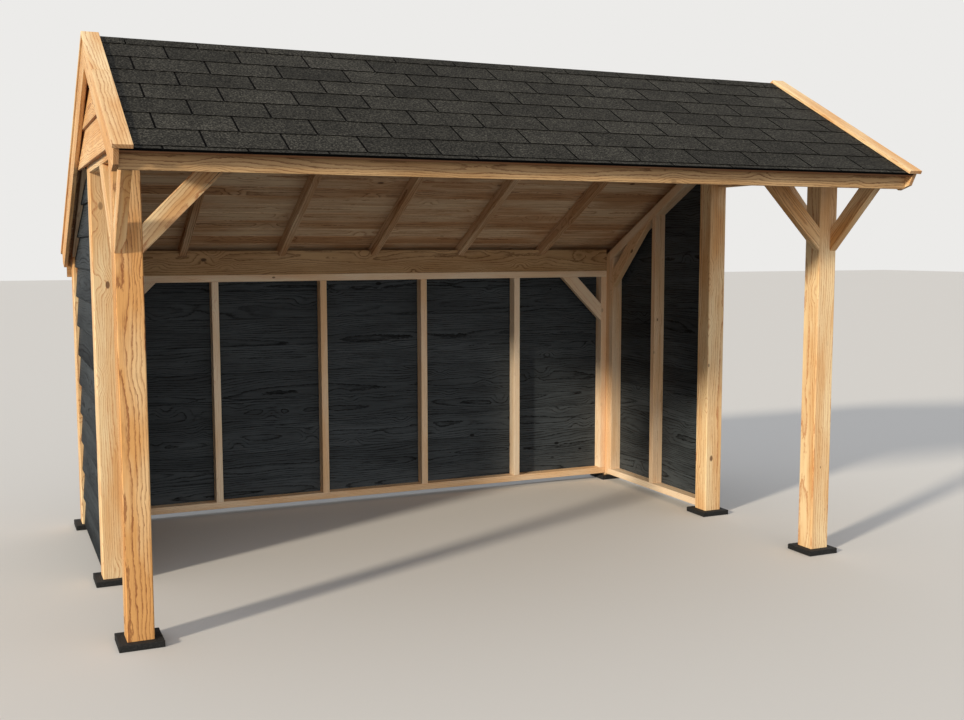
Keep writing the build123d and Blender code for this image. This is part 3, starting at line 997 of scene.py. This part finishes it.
def shingle_slope(side):
    """Courses of tabs from the eave up, half a tab apart, over a backing layer drawn black in the slots as
    painted shade, and the felt's edge turned down over the roof boards at the eave, black and partly painted
    shade."""
    chance = random.Random(SHINGLE_SEED[side])
    eave = SLOPE[side] - EAVE_SETBACK
    tabs = []
    lower_edges = [eave]
    edge = eave - STARTER_SHOWS
    while edge > LAST_COURSE:
        lower_edges.append(edge)
        edge -= TAB_EXPOSURE
    for course, low in enumerate(lower_edges):
        shows = STARTER_SHOWS if course == 0 else TAB_EXPOSURE
        high = max(low - shows - TAB_HEAD, TAB_HIGHEST)
        x = FIRST_SLOT[course % 2] - TAB_PITCH
        while x < ROOF_RIGHT:
            x0 = max(x + TAB_SLOT / 2, ROOF_LEFT + VERGE_CLEAR)
            x1 = min(x + TAB_PITCH - TAB_SLOT / 2, ROOF_RIGHT - VERGE_CLEAR)
            if x1 - x0 > TAB_NARROWEST:
                drop = chance.uniform(-1.5, 1.5)
                sink = TAB_SINK * (low - high) / shows
                lift = chance.uniform(0, 0.9)
                tabs.append(shingle_tab(side, x0, x1, low + drop, high, sink, lift, chance))
            x += TAB_PITCH
    foot = eave - BACKING_SETBACK
    # Painted shade: the backing is drawn as black bitumen, though the next course's granules lie under the
    # slots, so that the slots read as dark as shade
    backing = [
        (BACKING_START, BACKING_TOP),
        (foot, BACKING_TOP),
        (foot, BOARD_TOP),
        (BACKING_START, BOARD_TOP),
    ]
    # The felt's black edge turned down at the eave stands partly for the shade under the shingles' edge,
    # painted shade
    turn = SLOPE[side] - BOARD_SETBACK + 0.3
    lip = [
        (turn, BOARD_TOP - 1.0),
        (turn + FELT_THICK, BOARD_TOP - 1.0),
        (turn + FELT_THICK + 0.3, BOARD_TOP + FELT_DROP),
        (turn + 0.3, BOARD_TOP + FELT_DROP),
    ]
    tabs += [bitumen_and_painted_shade_layer(side, backing), bitumen_and_painted_shade_layer(side, lip)]
    return joined("shingle_tabs_" + side, tabs, ["shingles_" + side])


shingle_slope("front")
shingle_slope("rear")


def ridge_pieces():
    """Strips along the ridge: their tabs show on the front slope, their heads fold over to the rear."""
    chance = random.Random(RIDGE_SEED)
    pieces = []
    x = FIRST_SLOT[0] - TAB_PITCH
    while x < ROOF_RIGHT:
        x0 = max(x, ROOF_LEFT + RIDGE_INSET)
        x1 = min(x + TAB_PITCH, ROOF_RIGHT - RIDGE_INSET)
        if x1 - x0 > TAB_NARROWEST:
            part = bmesh.new()
            depth = RIDGE_DEPTH + chance.uniform(0.0, 0.9)
            # Distance from the ridge, depth and half of the gap to the next tab
            tab = (
                (RIDGE_REACH, depth + 2.2, RIDGE_SLOT),
                (24, depth + 0.5, RIDGE_SLOT),
                (14, depth, RIDGE_JOINT),
            )
            head = (
                (14, depth, RIDGE_JOINT),
                (45, depth + 0.8, RIDGE_JOINT),
                (RIDGE_REACH, depth + 2.2, RIDGE_JOINT),
            )
            ends = []
            for end, inward in ((x0, 1), (x1, -1)):
                # The felt bends over the ridge in a soft crown, a little lower and thicker
                over_ridge = depth * math.tan(PITCH["front"])
                crown = on_slope("front", end + inward * RIDGE_JOINT, over_ridge, depth)
                crown.z -= 0.0012
                over = [on_slope("front", end + inward * gap, s, d) for s, d, gap in tab]
                over += [crown]
                over += [on_slope("rear", end + inward * gap, s, d) for s, d, gap in head]
                below = [on_slope("front", end + inward * gap, s, d + RIDGE_THICK) for s, d, gap in tab]
                below += [crown - Vector((0, 0, 0.0036))]
                below += [on_slope("rear", end + inward * gap, s, d + RIDGE_THICK) for s, d, gap in head]
                ends.append([part.verts.new(p) for p in over + below[::-1]])
            left_end, right_end = ends
            end_faces = skin(part, right_end, left_end)
            bmesh.ops.triangulate(part, faces=end_faces)
            bmesh.ops.recalc_face_normals(part, faces=part.faces)
            tone = 0.7 * chance.random()
            pieces.append(measured(part, ALONG_RIDGE, UP, (0, 0), 0, tone))
        x += TAB_PITCH
    return joined("shingle_ridge_pieces", pieces, ["ridge_strip"])


ridge_pieces()


def pads():
    """Pads with crumbly faces and worn edges; their undersides stay flat on the ground."""
    timbers = []
    solids = separate_solids("foot_pads")
    halvings = 5
    for number, part in enumerate(solids):
        round_edges(part, PAD_EASE / 1000)
        bmesh.ops.triangulate(part, faces=part.faces)
        for _ in range(halvings):
            long_edges = [e for e in part.edges if e.calc_length() > PAD_NET / 1000]
            bmesh.ops.subdivide_edges(part, edges=long_edges, cuts=1, use_grid_fill=True)
            bmesh.ops.triangulate(part, faces=part.faces)
        middle = sum((v.co for v in part.verts), Vector()) / len(part.verts)
        for v in part.verts:
            away = v.co - middle
            crumb = noise.noise(v.co * CRUMBS_IN_A_METRE) * CRUMB_RISE
            if v.co.z > 0.001:
                v.co -= away.normalized() * ((PAD_WEAR + crumb) / 1000)
        timbers.append(measured(part, ALONG_RIDGE, UP, (0, 0), 0, number / len(solids)))
    return joined("rubber_foot_pads", timbers, ["foot_pads"])


pads()

# Plain pale floor: the camera sees it paler than the object does, so that it throws little light up
FLOOR_REACH = 60.0
corners = [(x * FLOOR_REACH, y * FLOOR_REACH, 0) for x, y in ((-1, -1), (1, -1), (1, 1), (-1, 1))]
floor_mesh = bpy.data.meshes.new("studio_floor")
floor_mesh.from_pydata(corners, [], [(0, 1, 2, 3)])
floor = bpy.data.objects.new("studio_floor", floor_mesh)
scene.collection.objects.link(floor)
floor_finish, floor_shader = new_finish("pale_studio_floor", 0.95, 0.1)
seen_by = add_node(floor_finish, "ShaderNodeLightPath")
floor_colour = add_node(
    floor_finish,
    "ShaderNodeMix",
    {"data_type": "RGBA", COLOUR_A: linear("#8A8C8F"), COLOUR_B: linear("#DEDCD9")},
    {0: seen_by.outputs["Is Camera Ray"]},
)
join_to(floor_finish, floor_shader, {"Base Color": floor_colour.outputs[MIXED]})
floor_mesh.materials.append(floor_finish)
floor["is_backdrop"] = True

# Soft studio light from all round, with a plain pale backdrop for the camera alone
world = bpy.data.worlds.new("studio")
world.use_nodes = True
scene.world = world
sky = world.node_tree.nodes["Background"]
sky.inputs["Color"].default_value = linear("#EDF1F7")
sky.inputs["Strength"].default_value = 0.62
backdrop = add_node(world, "ShaderNodeBackground", {"Color": linear("#ECEBE9"), "Strength": 1.0})
path = add_node(world, "ShaderNodeLightPath")
either = add_node(
    world, "ShaderNodeMixShader", links={0: path.outputs["Is Camera Ray"], 1: sky, 2: backdrop}
)
join_to(world, world.node_tree.nodes["World Output"], {"Surface": either})


def soft_sun(name, towards, strength, spread, colour):
    """A broad, far lamp that lights everything evenly from one side."""
    lamp = bpy.data.lights.new(name, "SUN")
    lamp.energy = strength
    lamp.angle = math.radians(spread)
    lamp.color = linear(colour)[:3]
    holder = bpy.data.objects.new(name, lamp)
    holder.rotation_euler = Vector(towards).to_track_quat("-Z", "Y").to_euler()
    scene.collection.objects.link(holder)


soft_sun("key_lamp", (0.905, 0.425, -0.345), 3.25, 5.0, "#FFF2DC")
soft_sun("fill_lamp", (0.10, 1.0, -0.17), 0.72, 44.0, "#FFF8EE")

# Camera at the photo's viewpoint: at eye height, in front of the open side and to the left
CAMERA_PLACE = (-2.509, -6.122, 1.785)
TURNED_RIGHT = 23.89
TILTED_DOWN = 5.71
ROLLED = -0.09
lens = bpy.data.cameras.new("photo_camera")
lens.sensor_fit = "HORIZONTAL"
lens.sensor_width = 36.0
lens.lens = 42.30
lens.clip_end = 200
camera = bpy.data.objects.new("photo_camera", lens)
turn = Matrix.Rotation(math.radians(-TURNED_RIGHT), 3, "Z")
tilt = Matrix.Rotation(math.radians(90 - TILTED_DOWN), 3, "X")
roll = Matrix.Rotation(math.radians(ROLLED), 3, "Z")
camera.matrix_world = Matrix.LocRotScale(
    Vector(CAMERA_PLACE), (turn @ tilt @ roll).to_quaternion(), Vector((1, 1, 1))
)
scene.collection.objects.link(camera)
scene.camera = camera
scene.view_settings.view_transform = "Standard"

low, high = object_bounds()
